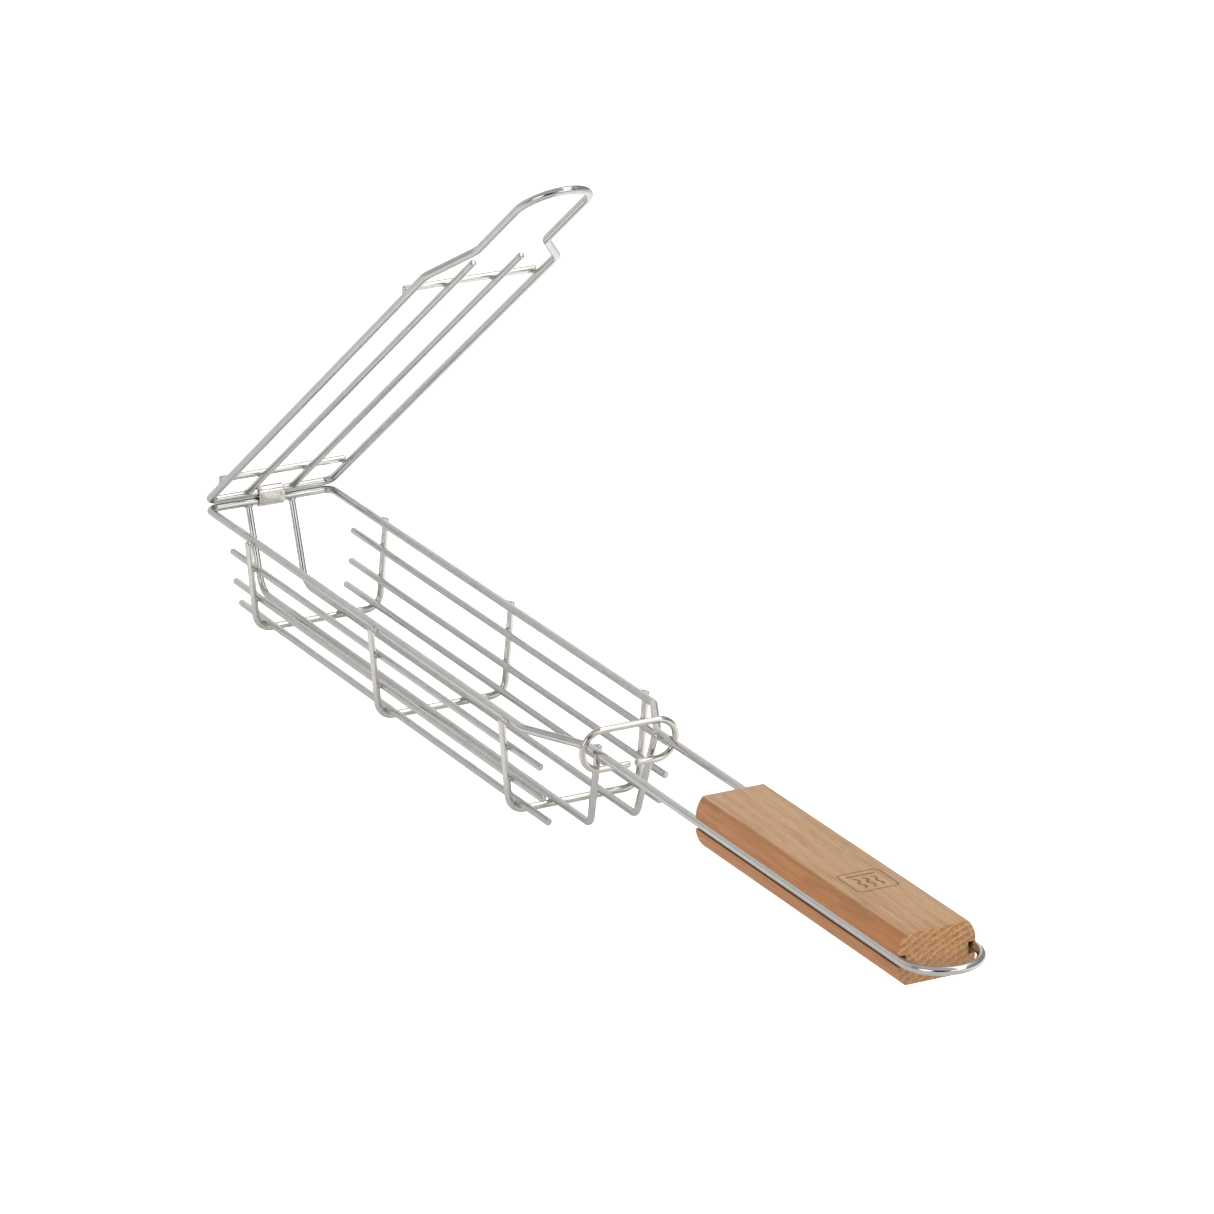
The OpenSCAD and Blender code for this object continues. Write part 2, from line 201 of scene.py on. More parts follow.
class Finishes(bpy.types.PropertyGroup):
    """Colours and polish of the metal and the wood"""
    steel: colour("Steel", "Colour that the plated wire reflects", (0.600, 0.594, 0.576))
    # The plated steel painted lighter for the hoops and the lid's cross wires: a painted highlight
    # for the brighter reflections these wires pick up.
    hoop_steel: colour(
        "Hoop steel", "Colour that the hoops and the lid's cross wires reflect",
        (0.680, 0.666, 0.628))
    bright_steel: colour(
        "Bright steel", "Colour that the ring and the clip reflect", (0.640, 0.614, 0.575))
    weld: colour("Weld", "Colour of the weld beads", (0.56, 0.54, 0.505))
    steel_roughness: FloatProperty(
        name="Steel roughness", description="Roughness of the plated wire",
        subtype="FACTOR", default=0.085, min=0, max=1)
    wood_light: colour("Light wood", "Colour of the early wood", (0.800, 0.498, 0.283))
    wood_dark: colour("Dark wood", "Colour of the late wood", (0.549, 0.304, 0.146))
    # Pore colour, also used to paint shade on the grip's underside.
    wood_pore_and_shade: colour("Pores", "Colour of the pores", (0.328, 0.177, 0.096))
    wood_side: colour("Oiled side", "Colour of the grip's rounded sides", (0.596, 0.240, 0.081))
    end_grain: colour("End grain", "Colour of the sawn ends", (0.656, 0.347, 0.156))
    # Burnt wood's colour, also used as painted shade in the grip's wire grooves.
    burn_and_groove_shade: colour(
        "Burnt wood", "Colour of the burnt mark and the scorched grooves", (0.150, 0.083, 0.053))
    ring_width: metres("Growth rings", "Width of a growth ring", 0.0029)


SETTINGS = {"wires": WireSizes, "basket": BasketSizes, "lid": LidSizes,
            "fittings": FittingSizes, "finishes": Finishes}


def settings(group):
    return getattr(bpy.context.scene, "grill_" + group)


# ---------------- places

def at(x, y, z):
    """A place given from the middle of the rear bar."""
    return Vector((FRAME_LOW.x + settings("wires").frame_d / 2 + x, y,
                   (FRAME_LOW.z + FRAME_HIGH.z) / 2 + z))


def lid_place():
    """Turns a place along, across and out on the lid into one in the frame."""
    lid = settings("lid")
    return Matrix.Translation(at(0, 0, lid.hinge_z)) @ Matrix.Rotation(-lid.angle, 4, "Y")


# ---------------- wire

class Wire:
    """Round wire, drawn ring by ring along straight runs and bends."""

    def __init__(self, start, towards, diameter, cut):
        self.mesh = bmesh.new()
        self.unrolled = self.mesh.verts.layers.float_vector.new("unrolled")
        self.radius, self.cut = diameter / 2, cut
        self.heading = (Vector(towards) - Vector(start)).normalized()
        self.centre = Vector(start) + self.heading * cut
        turn = self.heading.to_track_quat("Z", "Y").to_matrix()
        ring = bmesh.ops.create_circle(
            self.mesh, segments=settings("wires").sides, radius=self.radius,
            matrix=Matrix.Translation(self.centre) @ turn.to_4x4())["verts"]
        for point in ring:
            across = turn.transposed() @ (point.co - self.centre)
            point[self.unrolled] = (across.x, across.y, 0)
        self.edge = list({edge for point in ring for edge in point.link_edges})
        self.first = list(self.edge), self.centre.copy(), -self.heading

    def grow(self, travel):
        """Extrudes the wire's open edge and hands back its new ring of points."""
        made = bmesh.ops.extrude_edge_only(self.mesh, edges=self.edge)["geom"]
        ring = {item for item in made if isinstance(item, bmesh.types.BMVert)}
        self.edge = [item for item in made
                     if isinstance(item, bmesh.types.BMEdge) and ring.issuperset(item.verts)]
        for point in ring:
            point[self.unrolled] = point[self.unrolled] + Vector((0, 0, travel))
        return list(ring)

    def run(self, distance):
        """Draws the wire straight on."""
        if distance > 1e-7:
            step = self.heading * distance
            bmesh.ops.translate(self.mesh, verts=self.grow(distance), vec=step)
            self.centre = self.centre + step

    def bend(self, axis, angle, radius):
        """Bends the wire round an axis."""
        pivot = self.centre + axis.cross(self.heading) * radius
        steps = max(3, math.ceil(angle / BEND_STEP))
        turn = Matrix.Rotation(angle / steps, 3, axis)
        for _ in range(steps):
            ring = self.grow(radius * angle / steps)
            bmesh.ops.rotate(self.mesh, cent=pivot, matrix=turn, verts=ring)
            self.centre = pivot + turn @ (self.centre - pivot)
            self.heading = turn @ self.heading

    def follow(self, corners, bends):
        """Goes through the corners, rounding each, and stops short of the last by the cut."""
        corners = [Vector(corner) for corner in corners]
        for corner, onward, radius in zip(corners, corners[1:], bends):
            turned = (onward - corner).normalized()
            angle = self.heading.angle(turned)
            axis = self.heading.cross(turned).normalized()
            self.run((corner - self.centre).dot(self.heading) - radius * math.tan(angle / 2))
            self.bend(axis, angle, radius)
            self.heading = turned
        self.run((corners[-1] - self.centre).dot(self.heading) - self.cut)

    def close_end(self, edge, centre, outward):
        """Rounds a cut end over and closes it."""
        self.edge = edge
        reached, kept = 0.0, 1.0
        for step in range(1, CUT_STEPS + 1):
            angle = step * RIGHT_ANGLE / CUT_STEPS
            ring = self.grow(0)
            wanted = 1 - self.cut / self.radius * (1 - math.cos(angle))
            ahead = self.cut * math.sin(angle)
            middle = centre + outward * reached
            bmesh.ops.scale(self.mesh, vec=(wanted / kept,) * 3, verts=ring,
                            space=Matrix.Translation(-middle))
            bmesh.ops.translate(self.mesh, verts=ring, vec=outward * (ahead - reached))
            reached, kept = ahead, wanted
        bmesh.ops.contextual_create(self.mesh, geom=self.edge)

    def finish(self):
        """Closes both ends and hands over the mesh."""
        self.close_end(self.edge, self.centre, self.heading)
        self.close_end(*self.first)
        return self.mesh


def drawn_wire(corners, bends, diameter, cut=None):
    """A wire with two cut ends through the corners."""
    wire = Wire(corners[0], corners[1], diameter,
                settings("wires").cut if cut is None else cut)
    wire.follow(corners[1:], bends)
    return wire.finish()


# ---------------- pieces

def add_piece(name, mesh, material, body, nodes=(), sharp=math.radians(35)):
    """Makes a piece of a finished mesh and hangs it on its body."""
    bmesh.ops.recalc_face_normals(mesh, faces=mesh.faces)
    for face in mesh.faces:
        face.smooth = True
    data = bpy.data.meshes.new(name)
    mesh.to_mesh(data)
    mesh.free()
    data.set_sharp_from_angle(angle=sharp)
    data.materials.append(material)
    piece = bpy.data.objects.new(name, data)
    bpy.context.scene.collection.objects.link(piece)
    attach(piece, body)
    if nodes:
        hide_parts(*nodes)
    return piece


def add_bead(mesh, place, first, second, sizes, seed):
    """Adds one weld bead: a squeezed, uneven collar between two wires."""
    first, second = Vector(first).normalized(), Vector(second).normalized()
    out = first.cross(second).normalized()
    turn = Matrix((first, out.cross(first), out)).transposed().to_4x4()
    points = bmesh.ops.create_icosphere(mesh, subdivisions=3, radius=1)["verts"]
    for point in points:
        uneven = noise.noise(point.co * 1.4 + Vector((seed * 3.7, seed * 1.3, 0)))
        point.co *= 1 + 0.16 * uneven
    bmesh.ops.transform(mesh, verts=points, matrix=Matrix.Translation(place) @ turn
                        @ Matrix.Diagonal((*sizes, 1)))


# ---------------- finishes

class Shade:
    """A socket of a node tree that can be reckoned with as a number."""

    def __init__(self, tree, socket=None):
        self.tree, self.socket = tree, socket

    def node(self, kind, chosen=None, sockets=None, take=0):
        """Adds any node: its settings first, then its sockets' values or links."""
        made = self.tree.nodes.new(kind)
        for name, value in (chosen or {}).items():
            if name == "stops":
                while len(made.color_ramp.elements) < len(value):
                    made.color_ramp.elements.new(1)
                for stop, (place, colour) in zip(made.color_ramp.elements, value):
                    stop.position, stop.color = place, colour
            else:
                setattr(made, name, value)
        for name, value in (sockets or {}).items():
            if isinstance(value, Shade):
                self.tree.links.new(value.socket, made.inputs[name])
            else:
                made.inputs[name].default_value = value
        return Shade(self.tree, made.outputs[take])

    def math(self, operation, *values):
        return self.node("ShaderNodeMath", {"operation": operation}, dict(enumerate(values)))

    def __add__(self, other): return self.math("ADD", self, other)
    def __radd__(self, other): return self.math("ADD", other, self)
    def __sub__(self, other): return self.math("SUBTRACT", self, other)
    def __rsub__(self, other): return self.math("SUBTRACT", other, self)
    def __mul__(self, other): return self.math("MULTIPLY", self, other)
    def __rmul__(self, other): return self.math("MULTIPLY", other, self)
    def __truediv__(self, other): return self.math("DIVIDE", self, other)
    def __pow__(self, other): return self.math("POWER", self, other)
    def __abs__(self): return self.math("ABSOLUTE", self)

    def least(self, other): return self.math("MINIMUM", self, other)
    def most(self, other): return self.math("MAXIMUM", self, other)

    def step(self, low, high):
        """0 below low, 1 above high and a smooth rise between them."""
        return self.node("ShaderNodeMapRange", {"interpolation_type": "SMOOTHSTEP"},
                         {"Value": self, "From Min": low, "From Max": high})

    def spaced(self, values, operation="MULTIPLY"):
        return self.node("ShaderNodeVectorMath", {"operation": operation}, {0: self, 1: values})

    def place(self):
        """Object coordinates, which are metres in the shared frame."""
        return self.node("ShaderNodeTexCoord", take=3)

    def axes(self):
        made = self.node("ShaderNodeSeparateXYZ", None, {"Vector": self})
        return [Shade(self.tree, out) for out in made.socket.node.outputs]

    def noise(self, scale, detail=2.0, rough=0.5):
        return self.node("ShaderNodeTexNoise", None,
                         {"Vector": self, "Scale": scale, "Detail": detail, "Roughness": rough})

    def blend(self, start, end):
        """Mixes two colours by this number."""
        made = self.node("ShaderNodeMix", {"data_type": "RGBA"}, {"Factor": self})
        mixer = made.socket.node
        for socket, value in ((mixer.inputs[6], start), (mixer.inputs[7], end)):
            if isinstance(value, Shade):
                self.tree.links.new(value.socket, socket)
            else:
                socket.default_value = (*value, 1)
        return Shade(self.tree, mixer.outputs[2])


def new_finish(name):
    """A material with an empty principled shader, and the sheet to draw it on."""
    material = bpy.data.materials.new(name)
    material.use_nodes = True
    tree = material.node_tree
    shader = tree.nodes["Principled BSDF"]
    return material, Shade(tree), shader


def feed(shader, **sockets):
    for name, value in sockets.items():
        target = shader.inputs[name.replace("_", " ")]
        if isinstance(value, Shade):
            value.tree.links.new(value.socket, target)
        else:
            target.default_value = value


def tinted(tint, gain):
    """A colour made lighter or darker."""
    return tuple(channel * gain for channel in tint)


def relief(shader, height, strength, distance):
    """Raises a shader's surface by a height."""
    feed(shader, Normal=height.node("ShaderNodeBump", None, {
        "Strength": strength, "Distance": distance, "Height": height}))


def plated_wire(name, tint, roughness, lines=1.0, dull=1.0):
    """Bright plated wire: drawing lines along it, a mottled polish and a few pits."""
    if name in bpy.data.materials:
        return bpy.data.materials[name]
    material, sheet, shader = new_finish(name)
    along = sheet.node("ShaderNodeAttribute", {"attribute_name": "unrolled"}, None, 1)
    drawn = along.spaced((1, 1, 0.012)).noise(3200, 3.0, 0.6)
    fine = along.spaced((1, 1, 0.05)).noise(9000, 1.0)
    cloud = along.noise(170, 3.0, 0.55)
    pits = along.noise(1900, 1.0).step(0.72, 0.80)
    smear = cloud.step(0.35, 0.75)
    darker = tuple(channel * (1 - loss * dull)
                   for channel, loss in zip(tint, (0.10, 0.11, 0.13)))
    feed(shader, Base_Color=(smear * 0.7 + pits * 0.5).least(1.0).blend(tint, darker),
         Metallic=1.0,
         Roughness=roughness + smear * 0.05 * dull + (drawn - 0.5) * 0.03 * lines + pits * 0.12)
    height = drawn * 0.25 * lines + fine * 0.1 * lines + cloud * 1.5 * dull - pits * 0.5
    relief(shader, height, 0.15, 0.00001)
    return material


def bent_sheet(name):
    """Pressed bright sheet, painted lighter than the ring's steel as a painted highlight: rolling
    lines round the bends and rubbed places.
    """
    material, sheet, shader = new_finish(name)
    finishes = settings("finishes")
    place = sheet.place()
    rolled = place.spaced((1, 0.05, 1)).noise(4200, 3.0)
    cloud = place.noise(260, 3.0)
    rub = place.spaced((1, 3, 1)).noise(900, 2.0).step(0.55, 0.75)
    # The ring's steel painted 1.2 times lighter for the clip: a painted highlight.
    bright = tinted(finishes.bright_steel, 1.2)
    feed(shader, Base_Color=(cloud.step(0.3, 0.7) * 0.6 + rub * 0.3).blend(
        bright, tinted(bright, 0.82)),
         Metallic=1.0, Roughness=0.13 + cloud * 0.08 + rub * 0.10)
    relief(shader, rolled * 0.6 + cloud * 1.8, 0.4, 0.00003)
    return material


def welded_metal(name):
    """Weld beads: dull crust, straw and grey heat colours, fine ripples."""
    if name in bpy.data.materials:
        return bpy.data.materials[name]
    material, sheet, shader = new_finish(name)
    finishes = settings("finishes")
    place = sheet.place()
    crust = place.noise(900, 4.0, 0.6)
    heat = place.noise(240, 2.0)
    tint = heat.node("ShaderNodeValToRGB", {"stops": (
        (0.36, (*finishes.weld, 1)), (0.52, (0.66, 0.65, 0.62, 1)),
        (0.62, (0.60, 0.56, 0.49, 1)), (0.74, (0.53, 0.525, 0.53, 1)))}, {"Fac": heat})
    feed(shader, Base_Color=(crust.step(0.55, 0.75) * 0.6).blend(tint, (0.38, 0.355, 0.33)),
         Metallic=1.0, Roughness=0.28 + crust * 0.20)
    relief(shader, crust, 0.5, 0.00012)
    return material


def burnt_mark(x, y, z, top):
    """A small burnt mark: three heat waves over a bar in a rounded square."""
    straight, corner = 0.0076, 0.0024
    outline = ((abs(x) - straight).most(0.0) ** 2 + (abs(y) - straight).most(0.0) ** 2) ** 0.5
    line = 1 - abs(outline - corner).step(0.00026, 0.00055)
    phase = x * 1050
    wave = phase.math("SINE", phase) * 0.00075
    apart = 0.0042
    near = abs(y + wave).least(abs(y + wave - apart)).least(abs(y + wave + apart))
    near = near / (1 + abs(phase.math("COSINE", phase)) * 0.22)
    waves = (1 - near.step(0.00042, 0.00075)) * (1 - abs(x - 0.0014).step(0.0050, 0.0056))
    bar = (1 - abs(x + 0.0064).step(0.00050, 0.00080)) * (1 - abs(y).step(0.0066, 0.0070))
    return line.most(waves).most(bar) * z.step(top - 0.0006, top - 0.0002)


def oiled_wood(name):
    """Solid wood: growth rings round a far pith, pores, end grain, painted shade in the wire
    grooves and a painted darker underside.
    """
    material, sheet, shader = new_finish(name)
    finishes, sizes = settings("finishes"), settings("fittings")
    middle = at(sum(sizes.grip_ends) / 2, 0, 0)
    place = sheet.place().spaced(tuple(-middle), "ADD")
    x, y, z = place.axes()
    sway = place.spaced((0.16, 1, 1)).noise(70, 2.0) - 0.5
    drift = place.spaced((0.30, 1, 1)).noise(240, 2.0) - 0.5
    across = y + x * 0.012 - 0.062 + sway * 0.0026
    upward = z - x * 0.021 + 0.120 + sway * 0.0026
    reach = (across * across + upward * upward) ** 0.5 + drift * 0.0009
    years = reach / finishes.ring_width
    year = years.math("FRACT", years)
    late = year.step(0.15, 0.85) * (1 - year.step(0.90, 1.0))
    porous = (1 - year.step(0.0, 0.24)).most(year.step(0.93, 1.0))
    fibre = place.spaced((0.018, 1, 1)).noise(2600, 3.0, 0.6)
    streak = place.spaced((0.035, 1, 1)).noise(520, 3.0, 0.55)
    blotch = place.spaced((0.30, 1, 1)).noise(60, 2.0)
    pore = place.spaced((0.030, 1, 1)).noise(3600, 1.0).step(0.60, 0.70) * (0.35 + porous * 0.65)
    half = (sizes.grip_ends[1] - sizes.grip_ends[0]) / 2
    end = abs(x).step(half - 0.0004, half - 0.0001)
    fleck = place.spaced((0.09, 1, 1)).noise(1500, 2.0).step(0.50, 0.64)
    tone = (late * 0.22 + streak.step(0.32, 0.66) * 0.30 + (fibre - 0.5) * 1.2 + fleck * 0.20
            + blotch.step(0.3, 0.7) * 0.24)
    flat = tone.blend(finishes.wood_light, finishes.wood_dark)
    side = abs(y).step(sizes.grip_flat - 0.0002, sizes.grip_flat + 0.0006)
    flat = (side * (0.72 + streak.step(0.35, 0.65) * 0.28)).blend(flat, finishes.wood_side)
    figure = place.spaced((0.10, 1, 0.6)).noise(330, 3.0, 0.6).step(0.48, 0.66)
    rubbed = side * (1 - abs(y).step(sizes.grip_flat + 0.0005, sizes.grip_flat + 0.0016))
    flat = (side * figure * 0.35 + rubbed * 0.30).blend(flat, tinted(finishes.wood_side, 0.62))
    flat = (pore * 0.60).blend(flat, finishes.wood_pore_and_shade)
    rays = place.spaced((1, 0.35, 0.70)).noise(1300, 2.0).step(0.42, 0.62)
    block = place.spaced((0.2, 1, 1)).noise(520, 2.0, 0.6).step(0.42, 0.60)
    pale = (1 - abs(year - 0.07).step(0.035, 0.11)) * (0.45 + rays * 0.55)
    ends = (late * 0.25 + block * 0.42 + rays * 0.22).least(1.0).blend(
        tinted(finishes.end_grain, 1.15), tinted(finishes.end_grain, 0.55))
    ends = (pale * 0.70).blend(ends, tinted(finishes.end_grain, 1.85))
    speck = place.noise(5200, 1.0).step(0.60, 0.68)
    ends = (speck * 0.45).blend(ends, finishes.wood_pore_and_shade)
    wood = end.blend(flat, ends)
    # Painted shade in the wire grooves, in the burnt wood's colour.
    groove = (1 - abs(z + 0.0005).step(0.0023, 0.0030)) * abs(y).step(
        sizes.groove_floor - 0.0009, sizes.groove_floor + 0.0002) * (
        1 - abs(y).step(sizes.grip_waist[0] - 0.0012, sizes.grip_waist[0] - 0.0002))
    wood = (groove * 0.80).blend(wood, finishes.burn_and_groove_shade)
    # Painted shade: the grip darker towards the bottom, more so at the sawn ends.
    under = 1 - z.step(-0.0030, 0.0010)
    wood = (under * (0.13 + end * 0.20)).blend(wood, finishes.wood_pore_and_shade)
    mark = burnt_mark(x - (at(MARK_X, 0, 0).x - middle.x), y, z, sizes.grip_half_z)
    worn = place.noise(900, 3.0).step(0.25, 0.60)
    wood = (mark * (0.42 + worn * 0.33)).blend(wood, finishes.burn_and_groove_shade)
    feed(shader, Base_Color=wood,
         Roughness=0.50 + (fibre - 0.5) * 0.25 + pore * 0.15 + end * 0.18 + mark * 0.1)
    shader.inputs["Specular IOR Level"].default_value = 0.35
    height = (fibre * 0.35 - pore * 0.9 + late * 0.15 - end * speck * 0.8 - mark * 0.9
              - end * pale * 0.3 + streak * 0.3)
    relief(shader, height, 0.45, 0.00015)
    return material


def frame_finish():
    finishes = settings("finishes")
    return plated_wire("plated_frame_wire", finishes.steel, finishes.steel_roughness)


def rod_finish():
    finishes = settings("finishes")
    return plated_wire("plated_rod_wire", finishes.steel, finishes.steel_roughness + 0.09, 1.2)


def hoop_finish():
    finishes = settings("finishes")
    # The hoops and the lid's cross wires take the steel painted lighter, a painted highlight.
    return plated_wire("plated_hoop_wire", finishes.hoop_steel, finishes.steel_roughness + 0.05)


def bright_finish():
    finishes = settings("finishes")
    return plated_wire("bright_ring_wire", finishes.bright_steel,
                       finishes.steel_roughness * 0.9, 0.6, 0.6)


# ---------------- operators

class GRILL_OT_frame_wire(bpy.types.Operator):
    """Bend the frame wire: rim, neck, handle wires and hanging loop in one length"""
    bl_idname = "grill.frame_wire"
    bl_label = "Frame wire"

    def execute(self, context):
        wires, basket = settings("wires"), settings("basket")
        side, hand = basket.rim_half, basket.handle_half
        tip = basket.loop_x + hand
        corners = [at(0, 0, 0), at(0, -side, 0), at(basket.rim_length, -side, 0),
                   at(basket.neck_x, -hand, 0), at(tip, -hand, 0), at(tip, hand, 0),
                   at(basket.neck_x, hand, 0), at(basket.rim_length, side, 0),
                   at(0, side, 0), at(0, 0, 0)]
        bends = [basket.rear_bend, basket.neck_bend, basket.neck_bend, hand, hand,
                 basket.neck_bend, basket.neck_bend, basket.rear_bend]
        mesh = drawn_wire(corners, bends, wires.frame_d, wires.joint_cut)
        add_piece("frame_wire", mesh, frame_finish(), "basket", ["main_frame"])
        return {"FINISHED"}


class GRILL_OT_hoops(bpy.types.Operator):
    """Bend the three hoops that hang under the rim"""
    bl_idname = "grill.hoops"
    bl_label = "Hoops"

    def execute(self, context):
        wires, basket = settings("wires"), settings("basket")
        lean = math.tan(basket.hoop_lean)
        top = basket.hoop_top_y + basket.hoop_top * lean
        foot = basket.hoop_top_y - basket.hoop_drop * lean
        for place, x in zip(("rear", "middle", "front"), basket.hoops):
            corners = [at(x, -top, basket.hoop_top), at(x, -foot, -basket.hoop_drop),
                       at(x, foot, -basket.hoop_drop), at(x, top, basket.hoop_top)]
            mesh = drawn_wire(corners, [basket.hoop_bend] * 2, wires.rod_d, wires.rod_d * HOOP_END)
            add_piece(f"{place}_hoop_wire", mesh, hoop_finish(), "basket",
                      [f"hoop_{place}"])
        return {"FINISHED"}


class GRILL_OT_side_rods(bpy.types.Operator):
    """Cut the six long rods of the basket's sides"""
    bl_idname = "grill.side_rods"
    bl_label = "Side rods"

    def execute(self, context):
        wires, basket = settings("wires"), settings("basket")
        start, stop = basket.rod_ends
        for side, sign in (("left", -1), ("right", 1)):
            for row in ("upper", "lower", "corner"):
                half, z = getattr(basket, f"{row}_rod")
                ends = [at(start, sign * half, z), at(stop, sign * half, z)]
                mesh = drawn_wire(ends, [], wires.rod_d)
                add_piece(f"{side}_{row}_wire", mesh, rod_finish(), "basket",
                          [f"{side}_{row}_rod"])
        return {"FINISHED"}


class GRILL_OT_centre_rods(bpy.types.Operator):
    """Bend the two centre rods from the rear bar along the floor up to the neck"""
    bl_idname = "grill.centre_rods"
    bl_label = "Centre rods"

    def execute(self, context):
        wires, basket = settings("wires"), settings("basket")
        head_x, head_y, head_z = basket.leg_head
        for side, sign in (("left", -1), ("right", 1)):
            half = sign * basket.centre_half
            corners = [at(basket.centre_head[0], half, basket.centre_head[1]),
                       at(basket.centre_foot[0], half, basket.centre_foot[1]),
                       at(basket.leg_foot, half, basket.centre_foot[1]),
                       at(head_x, sign * head_y, head_z)]
            mesh = drawn_wire(corners, list(basket.leg_bends), wires.rod_d)
            add_piece(f"{side}_centre_wire", mesh, rod_finish(), "basket",
                      [f"{side}_centre_rod"])
        return {"FINISHED"}


class GRILL_OT_lid_frame(bpy.types.Operator):
    """Bend the lid's wire with its thumb loop, butt joint and all"""
    bl_idname = "grill.lid_frame"
    bl_label = "Lid frame"

    def execute(self, context):
        wires, lid = settings("wires"), settings("lid")
        place, loop = lid_place(), lid.loop_half
        cut = wires.joint_cut
        slip = cut / loop
        centre = Vector((lid.loop_l, 0, 0))
        start = centre + Vector((math.cos(lid.joint + slip), math.sin(lid.joint + slip), 0)) * loop
        ahead = Vector((-math.sin(lid.joint + slip), math.cos(lid.joint + slip), 0))
        wire = Wire(place @ (start - ahead * cut), place @ (start + ahead), wires.frame_d, cut)
        up = place.to_3x3() @ Vector((0, 0, 1))
        wire.bend(up, RIGHT_ANGLE - lid.joint - slip, loop)
        corners = [(lid.neck, loop, 0), (lid.length, lid.half, 0), (0, lid.half, 0),
                   (0, -lid.half, 0), (lid.length, -lid.half, 0), (lid.neck, -loop, 0)]
        last = Vector((lid.loop_l, -loop, 0))
        bends = [lid.neck_bend, lid.neck_bend, lid.rear_bend, lid.rear_bend,
                 lid.neck_bend, lid.neck_bend]
        wire.cut = 0
        wire.follow([place @ Vector(corner) for corner in corners] + [place @ last], bends)
        wire.cut = cut
        wire.bend(up, RIGHT_ANGLE + lid.joint - slip, loop)
        add_piece("lid_wire", wire.finish(), frame_finish(), "lid", ["lid_frame"])
        return {"FINISHED"}


class GRILL_OT_lid_wires(bpy.types.Operator):
    """Cut the lid's two cross wires and two rods"""
    bl_idname = "grill.lid_wires"
    bl_label = "Lid cross wires and rods"

    def execute(self, context):
        wires, lid = settings("wires"), settings("lid")
        place = lid_place()
        for name, l in zip(("rear", "front"), lid.cross_at):
            ends = [place @ Vector((l, sign * lid.cross_half, lid.cross_out)) for sign in (-1, 1)]
            add_piece(f"{name}_cross_wire", drawn_wire(ends, [], wires.rod_d), hoop_finish(),
                      "lid", [f"lid_{name}_cross_wire"])
        for side, sign in (("left", -1), ("right", 1)):
            ends = [place @ Vector((l, sign * lid.rod_half, lid.rod_out)) for l in lid.rod_ends]
            add_piece(f"{side}_lid_wire", drawn_wire(ends, [], wires.rod_d), rod_finish(),
                      "lid", [f"lid_{side}_rod"])
        return {"FINISHED"}


class GRILL_OT_welds(bpy.types.Operator):
    """Weld every crossing of the basket and of the lid"""
    bl_idname = "grill.welds"
    bl_label = "Weld beads"

    def execute(self, context):
        wires, basket, lid = settings("wires"), settings("basket"), settings("lid")
        thick, thin = wires.frame_d / 2, wires.rod_d / 2
        along, up = Vector((1, 0, 0)), Vector((0, 0, 1))
        mesh, seed = bmesh.new(), 0
        foot = basket.hoop_top_y - basket.hoop_drop * math.tan(basket.hoop_lean)
        turn = (RIGHT_ANGLE - basket.hoop_lean) / 2
        bend_y = foot - basket.hoop_bend * math.tan(turn)
        bend_z = basket.hoop_bend - basket.hoop_drop
        for x in basket.hoops:
            for sign in (-1, 1):
                leg = Vector((0, sign * math.sin(basket.hoop_lean), math.cos(basket.hoop_lean)))
                inward = Vector((0, -sign * leg.z, sign * leg.y))
                add_bead(mesh, at(x, sign * (basket.rim_half + thick * 0.90), -0.0004),
                         along, leg, RIM_BEAD, seed + 1)
                for row, half, z in ((2, *basket.upper_rod), (3, *basket.lower_rod)):
                    add_bead(mesh, at(x, sign * half, z) - inward * thin * SUNK,
                             along, leg, ROD_BEAD, seed + row)
                half, z = basket.corner_rod
                out = Vector((0, sign * (half - bend_y), z - bend_z)).normalized()
                add_bead(mesh, at(x, sign * half, z) + out * thin * SUNK,
                         along, along.cross(out), ROD_BEAD, seed + 4)
                add_bead(mesh, at(x, sign * basket.centre_half,
                                  basket.centre_foot[1] - thin * SUNK),
                         along, Vector((0, 1, 0)), ROD_BEAD, seed + 5)
                seed += 6
        for sign in (-1, 1):
            add_bead(mesh, at(0.0005, sign * basket.centre_half, -thick * 0.9),
                     Vector((0, 1, 0)), along, HEAD_BEAD, seed + 1)
            head_x, _, head_z = basket.leg_head
            rise = Vector((head_x - basket.leg_foot, 0, head_z - basket.centre_foot[1]))
            add_bead(mesh, at(head_x - 0.0006, sign * (basket.handle_half - thick * SUNK),
                              -0.0002), along, rise, LEG_BEAD, seed + 2)
            seed += 3
        add_piece("basket_welds", mesh, welded_metal("weld_bead"), "basket")
        mesh, place = bmesh.new(), lid_place()
        tilt = place.to_3x3()
        l_way, y_way = tilt @ along, Vector((0, 1, 0))
        level = lid.rod_out + thin * SUNK
        for l in lid.cross_at:
            for sign in (-1, 1):
                add_bead(mesh, place @ Vector((l, sign * (lid.half - 0.0002), thick * SUNK)),
                         l_way, y_way, CROSS_BEAD, seed)
                add_bead(mesh, place @ Vector((l, sign * lid.rod_half, level)),
                         l_way, y_way, ROD_BEAD, seed + 1)
                seed += 2
        for sign in (-1, 1):
            add_bead(mesh, place @ Vector((lid.rod_ends[0] + 0.0002, sign * lid.rod_half, 0.0004)),
                     y_way, tilt @ up, LID_ROD_BEAD, seed)
            seed += 1
        add_piece("lid_welds", mesh, welded_metal("weld_bead"), "lid")
        return {"FINISHED"}


